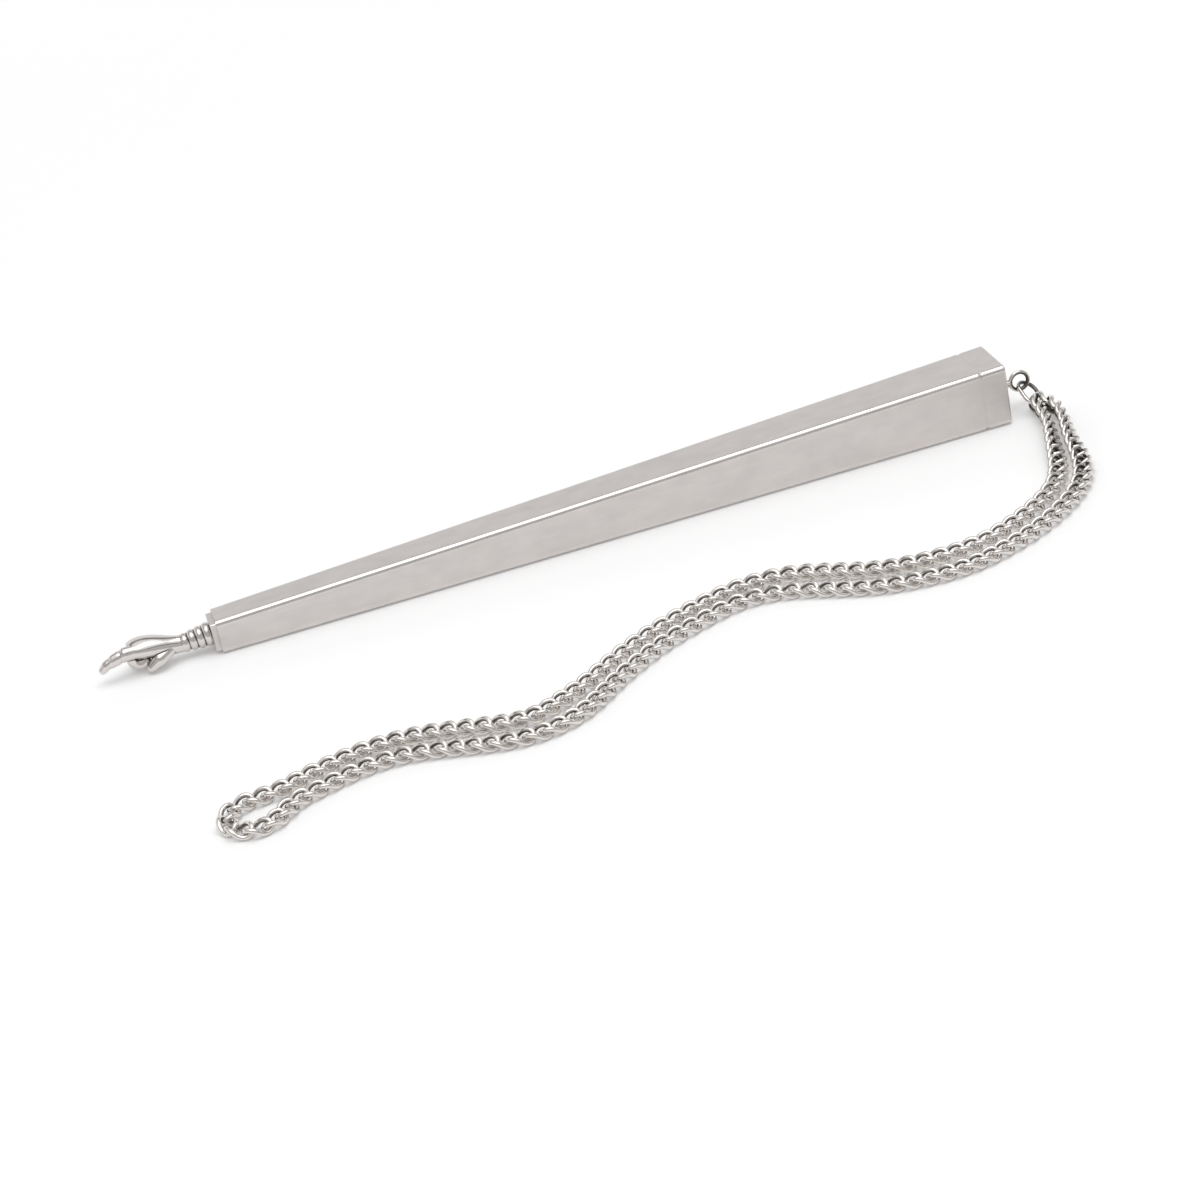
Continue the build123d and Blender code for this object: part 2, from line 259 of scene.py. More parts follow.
def cast_silver(settings):
    """Hand finish: polished casting, rougher in its hollows and creases, where painted shade darkens its
    colour.
    """
    material, tree = new_material("cast_silver")
    place = Signal.node(tree, "ShaderNodeTexCoord", {}, {}, "Object")
    hollow = Signal.node(tree, "ShaderNodeAttribute", {"attribute_name": "hollow"}, {}, "Fac")
    pits = noise(tree, place, CAST_PITS, 2.0, 0.6)
    clouds = noise(tree, place, CAST_CLOUDS, 3.0, 0.6)
    # Painted shade: the hollow mark darkens the colour nearly to black in the creases and between the
    # fingers.
    dark = (hollow + (clouds - 0.5) * 0.35).fade(*HOLLOW_SHADE_FADE)
    tone = (1.0 - dark * 0.94 - (clouds - 0.5) * 0.25).clamped()
    colour = tinted(tree, settings.shade, settings.tint, tone)
    rough = settings.roughness + dark * 0.25 + (clouds - 0.5) * 0.12 + (pits - 0.5) * 0.08
    metal_surface(tree, colour, rough.most(LEAST_ROUGHNESS), pits * 0.5 + clouds * 0.5, settings.pit_depth)
    return material


def drawn_wire(name, settings):
    """Wire finish: polished, with fine scratches, painted shade on its inner side, and darker and rougher
    towards the eye.
    """
    material, tree = new_material(name)
    place = Signal.node(tree, "ShaderNodeTexCoord", {}, {}, "Object")
    inner = Signal.node(tree, "ShaderNodeAttribute", {"attribute_name": "inner"}, {}, "Fac")
    scratches = noise(tree, place, WIRE_SCRATCHES, 2.0, 0.6)
    clouds = noise(tree, place, WIRE_CLOUDS, 2.0, 0.6)
    parts = Signal.node(tree, "ShaderNodeSeparateXYZ", {}, {"Vector": place}, None)
    by_the_eye = Signal(parts.outputs["X"]).fade(eye_high.x - settings.dull_reach, eye_high.x)
    # Painted shade: the inner mark darkens the wire where it faces the link's middle, and the wire is also
    # made darker and rougher towards the eye.
    darkening = (inner + by_the_eye * settings.dull_share + (clouds - 0.5) * 0.5).fade(*DARKENING_FADE)
    tone = (1.0 - darkening * settings.darkening - (clouds - 0.5) * 0.2).clamped()
    colour = tinted(tree, settings.shade, settings.tint, tone)
    rough = settings.roughness + darkening * 0.14 + (clouds - 0.5) * 0.08 + (scratches - 0.5) * 0.06
    metal_surface(tree, colour, rough.most(LEAST_ROUGHNESS), scratches, settings.scratch_depth)
    return material


# Mesh helpers

def mesh_object(name, points, faces, material):
    """New object at the origin, with outward faces."""
    mesh = bpy.data.meshes.new(name)
    mesh.from_pydata([tuple(point) for point in points], [], faces)
    work = bmesh.new()
    work.from_mesh(mesh)
    bmesh.ops.remove_doubles(work, verts=work.verts, dist=MERGE_DISTANCE)
    bmesh.ops.recalc_face_normals(work, faces=work.faces)
    work.to_mesh(mesh)
    work.free()
    mesh.shade_smooth()
    mesh.materials.append(material)
    piece = bpy.data.objects.new(name, mesh)
    bpy.context.scene.collection.objects.link(piece)
    return piece


def skin(rings, closed):
    """Points and faces over rings of equally many points; an open skin is capped at both ends."""
    count = len(rings[0])
    points = [point for ring in rings for point in ring]
    faces = []
    for index in range(len(rings) if closed else len(rings) - 1):
        base = index * count
        following = (index + 1) % len(rings) * count
        for k in range(count):
            after = (k + 1) % count
            faces.append((base + k, base + after, following + after, following + k))
    if not closed:
        faces.append(tuple(reversed(range(count))))
        faces.append(tuple(range(len(points) - count, len(points))))
    return points, faces


def square_ring(x, middle, side, radius, settings):
    """Rounded square across the pointer, with a support point beside each corner's arc."""
    reach = side / 2 - radius
    margin = min(settings.support_margin, reach)
    steps = settings.corner_steps
    ring = []
    for corner in range(4):
        start = math.radians(90 * corner)
        turn = start + math.radians(45)
        centre_y = reach * math.copysign(1, math.cos(turn))
        centre_z = reach * math.copysign(1, math.sin(turn))
        entering = Vector((-math.sin(start), math.cos(start)))
        leaving = Vector((-math.cos(start), -math.sin(start)))
        arc = []
        for step in range(steps + 1):
            angle = start + math.radians(90) * step / steps
            arc.append(Vector((centre_y + radius * math.cos(angle), centre_z + radius * math.sin(angle))))
        arc.insert(0, arc[0] - entering * margin)
        arc.append(arc[-1] + leaving * margin)
        ring += [Vector((x, point.x, middle + point.y)) for point in arc]
    return ring


def taper_ring(x, inset, radius, settings):
    """Ring of the shaft's taper, set in from its outer faces."""
    side = side_at(x)
    return square_ring(x, side / 2, side - 2 * inset, max(radius - inset, settings.least_radius), settings)


def seam_radius(x, settings):
    """Radius of the long edges, worn wider where the cap meets the tube."""
    share = max(0.0, 1.0 - abs(x - tube_high.x) / settings.nick_width)
    return settings.edge_radius + settings.nick_depth * share


def round_ring(x, height, radius, like):
    """Circle across the pointer whose points face those of another ring."""
    ring = []
    for point in like:
        angle = math.atan2(point.z - height, point.y)
        ring.append(Vector((x, radius * math.cos(angle), height + radius * math.sin(angle))))
    return ring


def rounded_edge(x_end, radius, outward, margin):
    """Stations (x, inset) over an edge rounded towards an end face, after one that keeps the sides flat."""
    stations = [(x_end - outward * (radius + margin), 0.0)]
    for step in range(ROUNDING_STEPS + 1):
        angle = math.radians(90) * step / ROUNDING_STEPS
        stations.append((x_end - outward * radius * (1 - math.sin(angle)), radius * (1 - math.cos(angle))))
    return stations


def finish_piece(piece, body, slot, *nodes):
    """Puts a piece on its body, in place of its solids."""
    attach(piece, body)
    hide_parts(*nodes)
    return piece


def evaluated_copy(source, name):
    """Plain mesh object from an object with its modifiers applied; the source is removed."""
    graph = bpy.context.evaluated_depsgraph_get()
    mesh = bpy.data.meshes.new_from_object(source.evaluated_get(graph), depsgraph=graph)
    mesh.name = name
    bpy.data.objects.remove(source)
    piece = bpy.data.objects.new(name, mesh)
    bpy.context.scene.collection.objects.link(piece)
    return piece


# Cast surface: creases pressed in and hollows marked
HOLLOW_ROUNDS = 10
BLUR_ROUNDS = 2
DEEP_PERCENT = 99


def points_and_normals(mesh):
    """Places and normals of a mesh's corners, one row each."""
    points = np.empty(len(mesh.vertices) * 3)
    normals = np.empty(len(mesh.vertices) * 3)
    mesh.vertices.foreach_get("co", points)
    mesh.vertices.foreach_get("normal", normals)
    return points.reshape(-1, 3), normals.reshape(-1, 3)


def press_creases(mesh, settings):
    """Presses creases round the pointing finger at its joints, measured from its tip."""
    points, normals = points_and_normals(mesh)
    from_tip = points[:, 0] - hand_low.x
    share = np.zeros(len(points))
    for place in settings.crease_places:
        share = np.maximum(share, np.exp(-((from_tip - place) / settings.crease_width) ** 2))
    points = points - normals * (settings.crease_depth * share)[:, None]
    mesh.vertices.foreach_set("co", points.ravel())
    mesh.update()


# The hollow mark made below is the mask for the painted shade in the cast hand's creases and hollows.
def mark_hollows(mesh):
    """Stores how hollow the surface is at each corner, from 0 on bulges to 1 in creases."""
    count = len(mesh.vertices)
    points, normals = points_and_normals(mesh)
    edges = np.empty(len(mesh.edges) * 2, dtype=int)
    mesh.edges.foreach_get("vertices", edges)
    first, second = edges.reshape(-1, 2).T
    degree = np.bincount(first, minlength=count) + np.bincount(second, minlength=count)

    def spread(values):
        total = np.zeros_like(values)
        np.add.at(total, first, values[second])
        np.add.at(total, second, values[first])
        return total / degree.reshape(-1, *[1] * (values.ndim - 1))

    wide = points
    for _ in range(HOLLOW_ROUNDS):
        wide = spread(wide)
    hollow = ((wide - points) * normals).sum(axis=1)
    for _ in range(BLUR_ROUNDS):
        hollow = (hollow + spread(hollow)) / 2
    deepest = np.percentile(hollow, DEEP_PERCENT)
    attribute = mesh.attributes.new("hollow", "FLOAT", "POINT")
    attribute.data.foreach_set("value", np.clip(hollow / deepest, 0, 1).astype(np.float32))


# Bent wire, made by geometry nodes along a path

def bent_wire_tree():
    """Round wire along the edges of a path, marked where it faces the path's own middle."""
    tree = bpy.data.node_groups.new("bent_wire", "GeometryNodeTree")
    face = tree.interface
    face.new_socket("Path", in_out="INPUT", socket_type="NodeSocketGeometry")
    face.new_socket("Wire Diameter", in_out="INPUT", socket_type="NodeSocketFloat")
    face.new_socket("Wire Sides", in_out="INPUT", socket_type="NodeSocketInt")
    face.new_socket("Metal", in_out="INPUT", socket_type="NodeSocketMaterial")
    face.new_socket("Wire", in_out="OUTPUT", socket_type="NodeSocketGeometry")
    start = tree.nodes.new("NodeGroupInput")
    path, diameter, sides, metal = (Signal(socket) for socket in start.outputs[:4])
    line = Signal.node(tree, "GeometryNodeMeshToCurve", {}, {"Mesh": path})
    inputs = {"Resolution": sides, "Radius": diameter * 0.5}
    outline = Signal.node(tree, "GeometryNodeCurvePrimitiveCircle", {}, inputs)
    wire = Signal.node(tree, "GeometryNodeCurveToMesh", {}, {"Curve": line, "Profile Curve": outline})
    wire = Signal.node(tree, "GeometryNodeSetShadeSmooth", {}, {0: wire})
    place = Signal.node(tree, "GeometryNodeInputPosition")
    facing = Signal.node(tree, "GeometryNodeInputNormal")
    outward = Signal.node(tree, "ShaderNodeVectorMath", {"operation": "NORMALIZE"}, {0: place})
    settings = {"operation": "DOT_PRODUCT"}
    along = Signal.node(tree, "ShaderNodeVectorMath", settings, {0: outward, 1: facing}, "Value")
    # The inner mark is the mask for the painted shade on the wire's inner side.
    settings = {"data_type": "FLOAT", "domain": "POINT"}
    inputs = {"Geometry": wire, "Name": "inner", "Value": 0.0 - along}
    wire = Signal.node(tree, "GeometryNodeStoreNamedAttribute", settings, inputs)
    wire = Signal.node(tree, "GeometryNodeSetMaterial", {}, {"Geometry": wire, "Material": metal})
    Signal.node(tree, "NodeGroupOutput", {}, {0: wire}, None)
    return tree


def chain_run_tree(wire_tree):
    """Links of bent wire, one at each place, turned as its turn attribute says."""
    tree = bpy.data.node_groups.new("chain_run", "GeometryNodeTree")
    face = tree.interface
    face.new_socket("Places", in_out="INPUT", socket_type="NodeSocketGeometry")
    face.new_socket("Link Path", in_out="INPUT", socket_type="NodeSocketObject")
    face.new_socket("Wire Diameter", in_out="INPUT", socket_type="NodeSocketFloat")
    face.new_socket("Wire Sides", in_out="INPUT", socket_type="NodeSocketInt")
    face.new_socket("Metal", in_out="INPUT", socket_type="NodeSocketMaterial")
    face.new_socket("Links", in_out="OUTPUT", socket_type="NodeSocketGeometry")
    start = tree.nodes.new("NodeGroupInput")
    places, path, diameter, sides, metal = (Signal(socket) for socket in start.outputs[:5])
    line = Signal.node(tree, "GeometryNodeObjectInfo", {}, {"Object": path}, "Geometry")
    inputs = {"Path": line, "Wire Diameter": diameter, "Wire Sides": sides, "Metal": metal}
    link = Signal.node(tree, "GeometryNodeGroup", {"node_tree": wire_tree}, inputs)
    settings = {"data_type": "FLOAT_VECTOR"}
    turn = Signal.node(tree, "GeometryNodeInputNamedAttribute", settings, {"Name": "turn"})
    turned = Signal.node(tree, "FunctionNodeEulerToRotation", {}, {"Euler": turn})
    inputs = {"Points": places, "Instance": link, "Rotation": turned}
    links = Signal.node(tree, "GeometryNodeInstanceOnPoints", {}, inputs)
    links = Signal.node(tree, "GeometryNodeRealizeInstances", {}, {"Geometry": links})
    links = Signal.node(tree, "GeometryNodeSetMaterial", {}, {"Geometry": links, "Material": metal})
    Signal.node(tree, "NodeGroupOutput", {}, {0: links}, None)
    return tree


def grown(source, tree, name, **values):
    """Plain mesh that a geometry tree makes from an object; inputs are set by their identifiers."""
    modifier = source.modifiers.new(tree.name, "NODES")
    modifier.node_group = tree
    for item in tree.interface.items_tree:
        if item.in_out == "INPUT" and item.name in values:
            modifier[item.identifier] = values[item.name]
    return evaluated_copy(source, name)


def path_object(name, points):
    """Closed path of edges through points."""
    mesh = bpy.data.meshes.new(name)
    edges = [(k, (k + 1) % len(points)) for k in range(len(points))]
    mesh.from_pydata([tuple(point) for point in points], edges, [])
    piece = bpy.data.objects.new(name, mesh)
    bpy.context.scene.collection.objects.link(piece)
    return piece


def moved_mesh(piece, place):
    """Moves a piece's mesh, leaving its object at the origin."""
    piece.data.transform(place)
    return piece


# Curb link's path, from its own sizes

def arc_points(start, tangent, end, count):
    """Points along the arc that leaves a point in a direction and ends at another."""
    chord = end - start
    half_turn = tangent.angle(chord)
    radius = chord.length / (2 * math.sin(half_turn))
    inward = (chord - tangent * chord.dot(tangent)).normalized()
    centre = start + inward * radius
    points = []
    for step in range(count):
        angle = 2 * half_turn * step / count
        points.append(centre - inward * (radius * math.cos(angle)) + tangent * (radius * math.sin(angle)))
    return points


def link_path(half_length, half_width, end_tilt, side_slope, steps):
    """Closed middle line of a curb link: a quarter of two arcs, repeated about each axis."""
    end = Vector((half_length, 0, 0))
    end_tangent = Vector((0, math.cos(end_tilt), math.sin(end_tilt)))
    side = Vector((0, half_width, 0))
    side_tangent = Vector((-math.cos(side_slope), 0, -math.sin(side_slope)))
    chord = side - end
    both = end_tangent + side_tangent
    spread = 2 * (1 - end_tangent.dot(side_tangent))
    along = chord.dot(both)
    handle = (math.sqrt(along ** 2 + spread * chord.dot(chord)) - along) / spread
    joint = (end + end_tangent * handle + side - side_tangent * handle) / 2
    joint_tangent = (side - side_tangent * handle - end - end_tangent * handle).normalized()
    quarter = arc_points(end, end_tangent, joint, steps) + arc_points(joint, joint_tangent, side, steps)
    back = [Vector((-p.x, p.y, -p.z)) for p in reversed(quarter[1:])]
    half = quarter + [side] + back
    return half + [Vector((-p.x, -p.y, p.z)) for p in half]


def loose_solids(name):
    """Triangles of each separate solid in a node, as arrays of corner points."""
    mesh = frame["nodes"][name].data
    work = bmesh.new()
    work.from_mesh(mesh)
    bmesh.ops.remove_doubles(work, verts=work.verts, dist=MERGE_DISTANCE)
    bmesh.ops.triangulate(work, faces=work.faces)
    work.faces.ensure_lookup_table()
    seen = set()
    solids = []
    for face in work.faces:
        if face.index in seen:
            continue
        seen.add(face.index)
        reached = [face]
        for member in reached:
            for edge in member.edges:
                for neighbour in edge.link_faces:
                    if neighbour.index not in seen:
                        seen.add(neighbour.index)
                        reached.append(neighbour)
        solids.append(np.array([[corner.co for corner in member.verts] for member in reached]))
    work.free()
    return solids


def link_pose(triangles):
    """Middle and axes of a link's solid: long, across and flat, from its surface."""
    middles = triangles.mean(axis=1)
    first, second = triangles[:, 1] - triangles[:, 0], triangles[:, 2] - triangles[:, 0]
    areas = np.linalg.norm(np.cross(first, second), axis=1)
    centre = np.average(middles, axis=0, weights=areas)
    spread = np.cov((middles - centre).T, aweights=areas)
    axes = np.linalg.eigh(spread)[1][:, ::-1]
    long_axis, across = axes[:, 0], axes[:, 1]
    return centre, np.stack([long_axis, across, np.cross(long_axis, across)], axis=1)


# Settings

class ShaftSettings(bpy.types.PropertyGroup):
    """Sizes and finish of the shaft, its cap and its collar."""
    edge_radius: bpy.props.FloatProperty(
        name="Edge Radius", description="Rounding of the shaft's long edges",
        default=1.1 * MM, subtype="DISTANCE", unit="LENGTH", precision=5)
    wall: bpy.props.FloatProperty(
        name="Wall", description="Thickness of the tube's wall",
        default=1.0 * MM, subtype="DISTANCE", unit="LENGTH", precision=5)
    seam_round: bpy.props.FloatProperty(
        name="Seam Round", description="Rounding of the edges that meet at the cap's seam",
        default=0.03 * MM, subtype="DISTANCE", unit="LENGTH", precision=5)
    nick_width: bpy.props.FloatProperty(
        name="Nick Width", description="How far the nick in the long edges reaches to each side of the seam",
        default=0.45 * MM, subtype="DISTANCE", unit="LENGTH", precision=5)
    nick_depth: bpy.props.FloatProperty(
        name="Nick Depth", description="Extra rounding of the long edges at the seam",
        default=0.6 * MM, subtype="DISTANCE", unit="LENGTH", precision=5)
    rim_round: bpy.props.FloatProperty(
        name="Rim Round", description="Rounding of the cap's end",
        default=0.4 * MM, subtype="DISTANCE", unit="LENGTH", precision=5)
    fit_gap: bpy.props.FloatProperty(
        name="Fit Gap", description="Room between the tube and what is soldered into it",
        default=0.05 * MM, subtype="DISTANCE", unit="LENGTH", precision=5)
    collar_round: bpy.props.FloatProperty(
        name="Collar Round", description="Rounding of the collar's edges",
        default=0.4 * MM, subtype="DISTANCE", unit="LENGTH", precision=5)
    collar_edge: bpy.props.FloatProperty(
        name="Collar Edge", description="Rounding of the collar's front face",
        default=0.14 * MM, subtype="DISTANCE", unit="LENGTH", precision=5)
    least_radius: bpy.props.FloatProperty(
        name="Least Radius", description="Smallest corner radius inside the tube",
        default=0.3 * MM, subtype="DISTANCE", unit="LENGTH", precision=5)
    support_margin: bpy.props.FloatProperty(
        name="Support Margin", description="Strip beside each rounded edge that keeps the faces flat",
        default=0.06 * MM, subtype="DISTANCE", unit="LENGTH", precision=5)
    corner_steps: bpy.props.IntProperty(
        name="Corner Steps", description="Facets in each rounded corner", default=8, min=2)
    tint: bpy.props.FloatVectorProperty(
        name="Tint", description="Colour of the brushed metal where it is bright",
        default=(0.75, 0.712, 0.692), subtype="COLOR")
    shade: bpy.props.FloatVectorProperty(
        name="Shade", description="Colour of the brushed metal where it is dull",
        default=(0.62, 0.588, 0.572), subtype="COLOR")
    roughness: bpy.props.FloatProperty(
        name="Roughness", description="How satin the brushed faces are", default=0.5, subtype="FACTOR")
    edge_roughness: bpy.props.FloatProperty(
        name="Edge Roughness", description="Roughness of the polished edges", default=0.10, subtype="FACTOR")
    grain_depth: bpy.props.FloatProperty(
        name="Grain Depth", description="Depth of the brushed grain",
        default=0.004 * MM, subtype="DISTANCE", unit="LENGTH", precision=7)
    wear_width: bpy.props.FloatProperty(
        name="Wear Width", description="How far the polish of handling reaches in from the edges",
        default=1.2 * MM, subtype="DISTANCE", unit="LENGTH", precision=5)


class HandSettings(bpy.types.PropertyGroup):
    """Surface and finish of the cast hand."""
    voxel: bpy.props.FloatProperty(
        name="Voxel", description="Fineness of the cast surface",
        default=0.12 * MM, subtype="DISTANCE", unit="LENGTH", precision=5)
    melt_rounds: bpy.props.IntProperty(
        name="Melt Rounds", description="Passes that melt the fingers into the palm", default=6, min=0)
    crease_places: bpy.props.FloatVectorProperty(
        name="Crease Places", description="Where the pointing finger's joints crease, from its tip",
        default=(2.4 * MM, 4.9 * MM), size=2, unit="LENGTH", precision=5)
    crease_width: bpy.props.FloatProperty(
        name="Crease Width", description="How wide a crease is to each side",
        default=0.42 * MM, subtype="DISTANCE", unit="LENGTH", precision=5)
    crease_depth: bpy.props.FloatProperty(
        name="Crease Depth", description="How deep a crease is pressed",
        default=0.15 * MM, subtype="DISTANCE", unit="LENGTH", precision=5)
    tint: bpy.props.FloatVectorProperty(
        name="Tint", description="Colour of the polished casting",
        default=(0.70, 0.665, 0.645), subtype="COLOR")
    # Painted shade: the near-black colour that the hand's hollows and creases are darkened to.
    shade: bpy.props.FloatVectorProperty(
        name="Shade", description="Colour of the casting in its hollows",
        default=(0.05, 0.046, 0.042), subtype="COLOR")
    roughness: bpy.props.FloatProperty(
        name="Roughness", description="Roughness of the polished casting", default=0.17, subtype="FACTOR")
    pit_depth: bpy.props.FloatProperty(
        name="Pit Depth", description="Depth of the casting's fine pits",
        default=0.01 * MM, subtype="DISTANCE", unit="LENGTH", precision=6)


class WireSettings(bpy.types.PropertyGroup):
    """Sizes and finish of the eye, the jump ring and the chain's links."""
    eye_wire: bpy.props.FloatProperty(
        name="Eye Wire", description="Thickness of the eye's wire",
        default=0.9 * MM, subtype="DISTANCE", unit="LENGTH", precision=5)
    ring_wire: bpy.props.FloatProperty(
        name="Ring Wire", description="Thickness of the jump ring's wire",
        default=0.85 * MM, subtype="DISTANCE", unit="LENGTH", precision=5)
    link_wire: bpy.props.FloatProperty(
        name="Link Wire", description="Thickness of the chain's wire",
        default=1.0 * MM, subtype="DISTANCE", unit="LENGTH", precision=5)
    link_length: bpy.props.FloatProperty(
        name="Link Length", description="Outside length of a link",
        default=6.2 * MM, subtype="DISTANCE", unit="LENGTH", precision=5)
    link_width: bpy.props.FloatProperty(
        name="Link Width", description="Outside width of a link",
        default=4.3 * MM, subtype="DISTANCE", unit="LENGTH", precision=5)
    end_tilt: bpy.props.FloatProperty(
        name="End Tilt", description="Slant of the wire across a link's ends",
        default=math.radians(47), subtype="ANGLE", unit="ROTATION")
    side_slope: bpy.props.FloatProperty(
        name="Side Slope", description="Slant of the wire along a link's sides",
        default=math.radians(42), subtype="ANGLE", unit="ROTATION")
    link_sides: bpy.props.IntProperty(
        name="Link Sides", description="Facets round a link's wire", default=10, min=6)
    link_steps: bpy.props.IntProperty(
        name="Link Steps", description="Stretches along each of a link's arcs", default=4, min=2)
    ring_sides: bpy.props.IntProperty(
        name="Ring Sides", description="Facets round the wire of the eye and ring", default=20, min=8)
    tint: bpy.props.FloatVectorProperty(
        name="Tint", description="Colour of the polished wire",
        default=(0.76, 0.722, 0.69), subtype="COLOR")
    # Painted shade: the near-black colour that the wire's inner side is darkened to, also used towards the
    # eye.
    shade: bpy.props.FloatVectorProperty(
        name="Shade", description="Colour of the tarnished wire",
        default=(0.06, 0.052, 0.044), subtype="COLOR")
    roughness: bpy.props.FloatProperty(
        name="Roughness", description="Roughness of the polished wire", default=0.13, subtype="FACTOR")
    # Painted shade: how strongly the wire's inner side is darkened towards its shade colour; the darkening
    # near the eye uses it too.
    darkening: bpy.props.FloatProperty(
        name="Tarnish", description="How dark the inner side of the wire is", default=0.88, subtype="FACTOR")
    # The wire is made darker and rougher within this reach of the eye, by the share below.
    dull_reach: bpy.props.FloatProperty(
        name="Dull Reach", description="How far from the eye the wire is duller, where fingers don't rub it",
        default=14.0 * MM, subtype="DISTANCE", unit="LENGTH", precision=5)
    dull_share: bpy.props.FloatProperty(
        name="Dull Share", description="How much tarnish is added at the eye", default=1.15, min=0.0)
    scratch_depth: bpy.props.FloatProperty(
        name="Scratch Depth", description="Depth of the wire's fine scratches",
        default=0.004 * MM, subtype="DISTANCE", unit="LENGTH", precision=7)


class StageSettings(bpy.types.PropertyGroup):
    """Camera, floor and light."""
    camera_place: bpy.props.FloatVectorProperty(
        name="Camera Place", description="Where the camera stands",
        default=(-0.1108, -0.5397, 0.2782), subtype="TRANSLATION", unit="LENGTH")
    heading: bpy.props.FloatProperty(
        name="Heading", description="Turn of the view about the upright axis",
        default=math.radians(-10.87), subtype="ANGLE", unit="ROTATION")
    tilt: bpy.props.FloatProperty(
        name="Tilt", description="View's tilt from straight down",
        default=math.radians(61.92), subtype="ANGLE", unit="ROTATION")
    roll: bpy.props.FloatProperty(
        name="Roll", description="Turn of the picture about the line of sight",
        default=math.radians(-11.78), subtype="ANGLE", unit="ROTATION")
    lens: bpy.props.FloatProperty(
        name="Lens", description="Focal length on a 36 mm frame", default=90.0, subtype="DISTANCE_CAMERA")
    floor_reach: bpy.props.FloatProperty(
        name="Floor Reach", description="Half the floor's side",
        default=6.0, subtype="DISTANCE", unit="LENGTH")
    floor_tint: bpy.props.FloatVectorProperty(
        name="Floor Tint", description="Colour of the floor", default=(0.88, 0.88, 0.88), subtype="COLOR")
    floor_glow: bpy.props.FloatProperty(
        name="Floor Glow", description="Light that lifts the floor to white in the picture", default=0.12)
    far_glow: bpy.props.FloatProperty(
        name="Far Glow", description="Glow added with the square of the distance, as the lamp falls off",
        default=0.3)
    glow_reach: bpy.props.FloatProperty(
        name="Glow Reach", description="Distance past which the glow stays the same",
        default=0.6, subtype="DISTANCE", unit="LENGTH")
    key_energy: bpy.props.FloatProperty(
        name="Key Energy", description="Power of the overhead softbox",
        default=2.5, subtype="POWER", unit="POWER")
    softbox_place: bpy.props.FloatVectorProperty(
        name="Softbox Place", description="Where the overhead softbox hangs",
        default=(0.05, -0.10, 0.88), subtype="TRANSLATION", unit="LENGTH")
    softbox_length: bpy.props.FloatProperty(
        name="Softbox Length", description="Length of the softbox",
        default=0.9, subtype="DISTANCE", unit="LENGTH")
    softbox_width: bpy.props.FloatProperty(
        name="Softbox Width", description="Width of the softbox",
        default=0.5, subtype="DISTANCE", unit="LENGTH")


# Operators

class POINTER_OT_shaft(bpy.types.Operator):
    """Builds the tapered tube with its rounded edges"""
    bl_idname = "pointer.shaft"
    bl_label = "Shaft Tube"

    def execute(self, context):
        settings = context.scene.pointer_shaft
        stations = [(tube_low.x, settings.wall)]
        stations += reversed(rounded_edge(tube_low.x, settings.seam_round, -1, settings.support_margin))
        stations.append((tube_high.x - settings.nick_width - settings.support_margin, 0.0))
        stations += [(tube_high.x - settings.nick_width * share, 0.0) for share in (1.0, 0.5)]
        stations += rounded_edge(tube_high.x, settings.seam_round, 1, settings.support_margin)
        stations.append((tube_high.x, settings.wall))
        rings = [taper_ring(x, inset, seam_radius(x, settings), settings) for x, inset in stations]
        points, faces = skin(rings, closed=True)
        tube = mesh_object("brushed_tube", points, faces, shared_material("satin_silver"))
        finish_piece(tube, POINTER_BODY, "shaft", "shaft_tube")
        return {"FINISHED"}


class POINTER_OT_end_cap(bpy.types.Operator):
    """Builds the cap that closes the shaft's wide end"""
    bl_idname = "pointer.end_cap"
    bl_label = "End Cap"

    def execute(self, context):
        settings = context.scene.pointer_shaft
        seam = tube_high.x
        spigot_inset = settings.wall + settings.fit_gap
        stations = [(cap_low.x, spigot_inset), (seam, spigot_inset)]
        stations += reversed(rounded_edge(seam, settings.seam_round, -1, settings.support_margin))
        stations += [(seam + settings.nick_width * share, 0.0) for share in (0.5, 1.0)]
        stations.append((seam + settings.nick_width + settings.support_margin, 0.0))
        stations += rounded_edge(cap_high.x, settings.rim_round, 1, settings.support_margin)
        rings = [taper_ring(x, inset, seam_radius(x, settings), settings) for x, inset in stations]
        hole = (eye_high.y - eye_low.y) / 2 + settings.fit_gap
        rings.append(round_ring(cap_high.x, EYE_HEIGHT, hole, rings[-1]))
        rings.append(round_ring(eye_low.x - settings.fit_gap, EYE_HEIGHT, hole, rings[-1]))
        points, faces = skin(rings, closed=False)
        cap = mesh_object("brushed_end_cap", points, faces, shared_material("satin_silver"))
        cap.data.set_sharp_from_angle(angle=FLAT_EDGE)
        finish_piece(cap, POINTER_BODY, "shaft", "end_cap")
        return {"FINISHED"}


class POINTER_OT_collar(bpy.types.Operator):
    """Builds the plug in the narrow end, with the square collar that shows as a step"""
    bl_idname = "pointer.collar"
    bl_label = "Collar Plug"

    def execute(self, context):
        settings = context.scene.pointer_shaft
        inset = settings.wall + settings.fit_gap
        rings = [taper_ring(x, inset, settings.edge_radius, settings) for x in (plug_high.x, tube_low.x)]
        stations = [(tube_low.x, 0.0)]
        stations += rounded_edge(plug_low.x, settings.collar_edge, -1, settings.support_margin)
        for x, cut in stations:
            radius = settings.collar_round - cut
            rings.append(square_ring(x, AXIS_HEIGHT, COLLAR_SIDE - 2 * cut, radius, settings))
        points, faces = skin(rings, closed=False)
        collar = mesh_object("brushed_collar", points, faces, shared_material("satin_silver"))
        collar.data.set_sharp_from_angle(angle=FLAT_EDGE)
        finish_piece(collar, POINTER_BODY, "shaft", "tip_plug")
        return {"FINISHED"}


